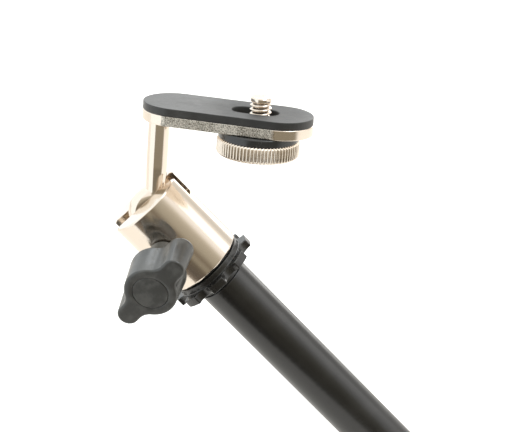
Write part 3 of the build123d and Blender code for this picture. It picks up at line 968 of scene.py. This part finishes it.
def knob_outline(inset):
    """Round body with two opposite lobes joined by hollow webs, drawn in from its full size."""
    body = KNOB_BODY - inset
    lobe = LOBE_RADIUS - inset
    web = WEB_RADIUS + inset
    web_x = math.sqrt((body + web) ** 2 - (lobe + web) ** 2)
    lean = math.atan2(lobe + web, web_x)
    half_turn = []
    half_turn += arc((LOBE_CENTRE, 0), lobe, -math.pi / 2, math.pi / 2, 2 * ARC_STEPS)
    half_turn += arc((web_x, lobe + web), web, -math.pi / 2, lean - math.pi, ARC_STEPS)
    half_turn += arc((0, 0), body, lean, math.pi - lean, 2 * ARC_STEPS)[1:-1]
    half_turn += arc((-web_x, lobe + web), web, -lean, -math.pi / 2, ARC_STEPS)
    return half_turn + [(-x, -y) for x, y in half_turn]


def wing_knob():
    low, high = reach("wing_knob", knob_place)
    front = high[2]
    hub_end = low[2]
    back = front - KNOB_DEPTH
    spread = KNOB_DEPTH * math.tan(KNOB_DRAFT)
    angles = [math.atan2(y, x) for x, y in knob_outline(0)]
    side = rounded([
        (-LOBE_RADIUS, back, 0),
        (spread, back, KNOB_BACK_EDGE),
        (0, front, KNOB_FRONT_EDGE),
        (-LOBE_RADIUS, front, 0),
    ])[1:-1]
    hub = rounded([
        (CLAMP_THREAD, hub_end, 0),
        (HUB_RADIUS, hub_end, 0.5),
        (HUB_RADIUS, back, 1.2),
        (HUB_RADIUS + HUB_FLARE, back, 0),
    ])
    recess = rounded([
        (CAP_RADIUS + CAP_RIM, front, 0),
        (CAP_RADIUS, front, 0.15),
        (CAP_RADIUS, front - CAP_DEEP, 0.1),
        (0.5, front - CAP_DEEP, 0),
    ])
    loops = [round_row(angles, CLAMP_THREAD, z) for z in (hub_end + HUB_BORE, hub_end)]
    loops += [round_row(angles, r, z) for r, z in hub[1:]]
    loops += [[(x, y, z) for x, y in knob_outline(-s)] for s, z in side]
    loops += [round_row(angles, r, z) for r, z in recess]
    stand_for(skin("wing_knob_moulded", loops, knob_place), "wing_knob", KNOB)


def knob_cap():
    low, high = reach("knob_cap", knob_place)
    radius = CAP_RADIUS - CAP_GROOVE
    cap = turned("knob_cap_moulded", bar(radius, low[2], high[2], 0, 0.25), knob_place, steps=96)
    stand_for(cap, "knob_cap", CAP)


def clamp_screw():
    low, high = reach("clamp_screw", knob_place)
    thread_end = high[2] - CLAMP_HEAD
    screw = thread("clamp_screw_threaded", CLAMP_THREAD - RUN, CLAMP_PITCH, low[2], thread_end, knob_place)
    stand_for(screw, "clamp_screw", STEEL)


# ---------------------------------------------------------------- lock ring and rod

LOBES = 8
NOTCH_RADIUS = 2.9
NOTCH_OUTSIDE = 0.5
LOBE_EASE = 0.4
FLANGE_EDGE = 0.3
LOCK_HUB = 11.4
LOCK_BORE = 6.5
LOCK_WASHER_BORE = 4.87
FLANGE_HIGH = 2.6
NOTCH_STEPS = 10
EASE_STEPS = 5
LAND_STEPS = 8


def star_outline(radius, inset):
    """Ring edge with hollow notches and eased corners, drawn in from its full size."""
    notch_at = radius + NOTCH_OUTSIDE
    lobe_reach = radius - LOBE_EASE
    notch_reach = NOTCH_RADIUS + LOBE_EASE
    squares = lobe_reach ** 2 + notch_at ** 2 - notch_reach ** 2
    spread = math.acos(squares / (2 * lobe_reach * notch_at))
    ease = LOBE_EASE - inset
    points = []
    for k in range(LOBES):
        middle = 2 * math.pi * (k + 0.5) / LOBES
        notch = Vector((notch_at * math.cos(middle), notch_at * math.sin(middle)))
        before = polar(lobe_reach, middle - spread)
        after = polar(lobe_reach, middle + spread)
        into = heading(before, notch)
        out = heading(after, notch)
        points += arc(before, ease, middle - spread, into_after(middle - spread, into), EASE_STEPS)
        start = heading(notch, before)
        end = heading(notch, after)
        points += arc(notch, NOTCH_RADIUS + inset, start, into_before(start, end), NOTCH_STEPS)[1:-1]
        points += arc(after, ease, into_before(middle + spread, out), middle + spread, EASE_STEPS)
        following = middle + 2 * math.pi / LOBES - spread
        points += arc((0, 0), radius - inset, middle + spread, following, LAND_STEPS)[1:-1]
    return points


def polar(radius, angle):
    return Vector((radius * math.cos(angle), radius * math.sin(angle)))


def heading(start, end):
    return math.atan2(end[1] - start[1], end[0] - start[0])


def into_after(reference, angle):
    """The same heading, written as the first one at or after the reference."""
    return reference + (angle - reference) % (2 * math.pi)


def into_before(reference, angle):
    """The same heading, written as the last one at or before the reference."""
    return reference - (reference - angle) % (2 * math.pi)


def lock_ring():
    low, high = reach("lock_ring", head_place)
    foot, top = low[2], high[2]
    flange_top = foot + FLANGE_HIGH
    radius = high[1]
    angles = [math.atan2(y, x) for x, y in star_outline(radius, 0)]
    outline = rounded([
        (LOCK_BORE, foot, 0.3),
        (radius, foot, FLANGE_EDGE),
        (radius, flange_top, FLANGE_EDGE),
        (LOCK_HUB, flange_top, 0.3),
        (LOCK_HUB, top, 0.3),
        (LOCK_BORE, top, 0.2),
    ], closed=True)
    loops = []
    for r, z in outline:
        if r > LOCK_HUB + 1:
            loops.append([(x, y, z) for x, y in star_outline(radius, radius - r)])
        else:
            loops.append(round_row(angles, r, z))
    stand_for(skin("lock_ring_moulded", loops, head_place, closed=True), "lock_ring", RING)


def lock_washer():
    low, high = reach("lock_washer", head_place)
    outline = hollow_bar(LOCK_WASHER_BORE, high[1], low[2], high[2], (0.1, 0.15, 0.15, 0.1))
    stand_for(turned("lock_washer_black", outline, head_place, closed=True), "lock_washer", METAL_BLACK)


TUBE_RADIUS = 8.0
TUBE_WALL = 1.5
PLUG_CORE = TUBE_RADIUS - TUBE_WALL - 0.01     # the plugs' radius inside the tube
PLUG_SHOULDER = 7.5
SHOULDER_HIGH = 1.3


def rod_tube():
    low, high = reach("rod_tube", head_place)
    outline = hollow_bar(high[1] - TUBE_WALL, high[1], low[2], high[2], (0.2, 0.35, 0.35, 0.2))
    stand_for(turned("rod_tube_coated", outline, head_place, closed=True, steps=192), "rod_tube", COAT)


def rod_plug():
    low, high = reach("rod_plug", head_place)
    shoulder = high[2] - SHOULDER_HIGH
    plug = turned("rod_plug_black", [
        (0, low[2], 0),
        (PLUG_CORE, low[2], 0.6),
        (PLUG_CORE, shoulder, 0),
        (PLUG_SHOULDER, shoulder, 0),
        (PLUG_SHOULDER, high[2], 0.35),
        (0, high[2], 0),
    ], head_place)
    stand_for(plug, "rod_plug", METAL_BLACK)


ROD_THREAD = 4.7625
ROD_PITCH = 1.5875
LOWER_THREAD = 15.0
LIP_HIGH = 1.2
MOUTH_DEEP = 0.9           # chamfer at the thread's mouth
MOUTH_WIDE = 0.8


def lower_plug():
    low, high = reach("lower_plug", head_place)
    mouth = low[2]
    radius = high[1]
    floor = mouth + LOWER_THREAD
    body = turned("lower_plug_tapped", [
        (ROD_THREAD, mouth + MOUTH_DEEP, 0),
        (ROD_THREAD + MOUTH_WIDE, mouth, 0.1),
        (radius, mouth, 0.4),
        (radius, mouth + LIP_HIGH, 0.1),
        (PLUG_CORE, mouth + LIP_HIGH, 0),
        (PLUG_CORE, high[2], 0.5),
        (0, high[2], 0),
        (0, floor, 0),
        (ROD_THREAD, floor, 0),
    ], head_place, closed=True)
    tapped = thread(
        "tapped", ROD_THREAD, ROD_PITCH, mouth + MOUTH_DEEP - LAP, floor - LAP / 2, head_place,
        depth_share=0.5, inside=True,
    )
    stand_for(join([body, tapped]), "lower_plug", STEEL)


# ---------------------------------------------------------------- kept CAD pieces

KEPT = {
    "post_screw": STEEL,
    "head_bush": STEEL,
    "brake_shoe": BRASS,
    "clamp_tip": BRASS,
    "lock_insert": STEEL,
    "rod_stud": STEEL,
}


def dress_kept_pieces():
    for node, material in KEPT.items():
        piece = frame["nodes"][node]
        piece.data.materials.clear()
        piece.data.materials.append(material)


for build in (
    camera_plate, rubber_pad, post_washer, tilt_post, camera_screw, thumbwheel, wheel_collar,
    head_housing, tilt_pin, wing_knob, knob_cap, clamp_screw, lock_washer, lock_ring,
    rod_tube, rod_plug, lower_plug, dress_kept_pieces,
):
    build()

# ---------------------------------------------------------------- camera

CAMERA_AZIMUTH = math.radians(11.13)
CAMERA_ELEVATION = math.radians(17.69)
CAMERA_ROLL = math.radians(4.35)
CAMERA_DISTANCE = 0.546
CAMERA_AIM = Vector((0.03058, 0.00594, 0.00086))   # from the tilt pin
CAMERA_LENS = 127.95


def direction(azimuth, elevation):
    flat = math.cos(elevation)
    return Vector((math.sin(azimuth) * flat, -math.cos(azimuth) * flat, math.sin(elevation)))


def add_camera():
    camera = bpy.data.objects.new("camera", bpy.data.cameras.new("camera"))
    bpy.context.scene.collection.objects.link(camera)
    back = direction(CAMERA_AZIMUTH, CAMERA_ELEVATION)
    camera.location = pin_point + CAMERA_AIM + back * CAMERA_DISTANCE
    camera.rotation_mode = "QUATERNION"
    roll = Matrix.Rotation(CAMERA_ROLL, 3, "Z").to_quaternion()
    camera.rotation_quaternion = (-back).to_track_quat("-Z", "Y") @ roll
    camera.data.lens = CAMERA_LENS
    camera.data.sensor_width = 36.0
    camera.data.clip_start = 0.01
    bpy.context.scene.camera = camera


# ---------------------------------------------------------------- studio

FLOOR_DROP = 0.030         # floor below the rod's lower end
FLOOR_FRONT = -0.115
FLOOR_REACH = 4.0
TENT_BRIGHT = 1.25
OPENING = (-22.0, -20.0, 66.0, 84.0)      # azimuths of the tent's open front, with soft edges
OPENING_SHADES = [                        # elevation and colour of what is seen through the opening
    (-60.0, (0.30, 0.26, 0.21)),
    (-40.0, (0.10, 0.085, 0.07)),
    (-24.0, (0.13, 0.11, 0.085)),
    (-18.5, (0.25, 0.225, 0.17)),
    (-14.0, (0.28, 0.255, 0.20)),
    (-7.0, (0.17, 0.14, 0.105)),
    (3.0, (0.36, 0.33, 0.26)),
    (14.0, (0.43, 0.395, 0.32)),
    (19.0, (0.53, 0.49, 0.41)),
    (24.0, (0.76, 0.72, 0.64)),
    (30.0, (0.98, 0.97, 0.94)),
]
LEFT_WALL = (1.06, 1.10, 1.11)
RIGHT_WALL = (0.92, 0.90, 0.87)
SEAM = (137.0, 24.0, 0.26, (0.66, 0.64, 0.60))    # a fold of the tent: azimuth, elevation, size, colour


def dot(tree, vector, axis):
    node = add_node(tree, "VectorMath", operation="DOT_PRODUCT")
    return feed(tree, node, i0=vector, i1=axis).outputs["Value"]


def studio_world():
    """A white light tent with an open front, lighting the object from all round."""
    world = bpy.data.worlds.new("light_tent")
    bpy.context.scene.world = world
    world.use_nodes = True
    tree = world.node_tree
    tree.nodes.clear()
    look = add_node(tree, "TexCoord").outputs["Generated"]
    parts = add_node(tree, "SeparateXYZ")
    feed(tree, parts, i0=look)
    azimuth = maths(tree, "ARCTAN2", parts.outputs[0], maths(tree, "MULTIPLY", parts.outputs[1], -1.0))
    elevation = maths(tree, "ARCSINE", parts.outputs[2])
    left, left_full, right_full, right = (math.radians(a) for a in OPENING)
    entered = stretch(tree, azimuth, left, left_full)
    not_passed = stretch(tree, azimuth, right_full, right, 1.0, 0.0)
    shades = add_node(tree, "ValToRGB")
    feed(tree, shades, i0=maths(tree, "DIVIDE", maths(tree, "ADD", elevation, math.pi / 2), math.pi))
    stops = shades.color_ramp.elements
    while len(stops) < len(OPENING_SHADES):
        stops.new(0.5)
    for stop, (angle, colour) in zip(stops, OPENING_SHADES):
        stop.position = (angle + 90) / 180
        stop.color = rgb(*colour)
    leftward = stretch(tree, parts.outputs[0], 0.05, -0.40)
    tent = blend_colours(tree, leftward, rgb(*RIGHT_WALL), rgb(*LEFT_WALL))
    fold_azimuth, fold_elevation, fold_size, fold_colour = SEAM
    fold = direction(math.radians(fold_azimuth), math.radians(fold_elevation))
    near_fold = stretch(tree, dot(tree, look, fold), math.cos(fold_size), 1.0)
    tent = blend_colours(tree, near_fold, tent, rgb(*fold_colour))
    tent = blend_colours(tree, maths(tree, "MULTIPLY", entered, not_passed), tent, shades.outputs[0])
    reflected = feed(tree, add_node(tree, "Background"), Color=tent, Strength=TENT_BRIGHT)
    seen = feed(tree, add_node(tree, "Background"), Color=rgb(1, 1, 1), Strength=1.0)
    mix = add_node(tree, "MixShader")
    rays = add_node(tree, "LightPath")
    feed(tree, mix, i0=rays.outputs["Is Camera Ray"], i1=reflected.outputs[0], i2=seen.outputs[0])
    tree.links.new(mix.outputs[0], add_node(tree, "OutputWorld").inputs[0])


def softbox(name, azimuth, elevation, distance, size, power, colour=(1.0, 0.98, 0.95)):
    lamp = bpy.data.lights.new(name, "AREA")
    lamp.energy = power
    lamp.color = colour
    lamp.size = size
    box = bpy.data.objects.new(name, lamp)
    bpy.context.scene.collection.objects.link(box)
    outward = direction(math.radians(azimuth), math.radians(elevation))
    box.location = pin_point + outward * distance
    box.rotation_mode = "QUATERNION"
    box.rotation_quaternion = outward.to_track_quat("Z", "Y")
    box.visible_camera = False


def floor_finish():
    """Pale paper: bright where it is looked at, calmer where the metal mirrors it."""
    glow = {"Emission_Color": rgb(1, 1, 1), "Emission_Strength": 0.3}
    material, tree, shader = new_finish("pale_floor", Roughness=0.8, **glow)
    marks = place_group(tree, HANDLING, Size=6.0, Cover=0.4)
    paper = blend_colours(tree, marks, rgb(0.90, 0.90, 0.89), rgb(0.87, 0.87, 0.86))
    tree.links.new(paper, shader.inputs["Base Color"])
    calm = feed(tree, add_node(tree, "BsdfDiffuse"), Color=rgb(0.76, 0.73, 0.69))
    mix = add_node(tree, "MixShader")
    rays = add_node(tree, "LightPath")
    feed(tree, mix, i0=rays.outputs["Is Camera Ray"], i1=calm.outputs[0], i2=shader.outputs[0])
    tree.links.new(mix.outputs[0], tree.nodes["Material Output"].inputs[0])
    return material


def floor():
    level_of_floor = cad_box[0].z - FLOOR_DROP
    shape = bmesh.new()
    corners = [(-FLOOR_REACH, FLOOR_FRONT), (FLOOR_REACH, FLOOR_FRONT)]
    corners += [(FLOOR_REACH, FLOOR_REACH), (-FLOOR_REACH, FLOOR_REACH)]
    shape.faces.new([shape.verts.new((x, y, level_of_floor)) for x, y in corners])
    mesh = bpy.data.meshes.new("floor")
    shape.to_mesh(mesh)
    shape.free()
    mesh.materials.append(floor_finish())
    sheet = bpy.data.objects.new("floor", mesh)
    bpy.context.scene.collection.objects.link(sheet)


add_camera()
studio_world()
softbox("right_softbox", 103.0, 28.0, 0.9, 0.42, 0.35)
softbox("top_softbox", 200.0, 62.0, 1.0, 0.7, 4.0, (0.93, 0.97, 1.0))
softbox("upper_right_softbox", 72.0, 54.0, 0.9, 0.5, 2.4, (0.90, 0.96, 1.0))
softbox("back_softbox", 170.0, 22.0, 1.1, 0.7, 2.6)
floor()
bpy.context.scene.view_settings.view_transform = "Standard"
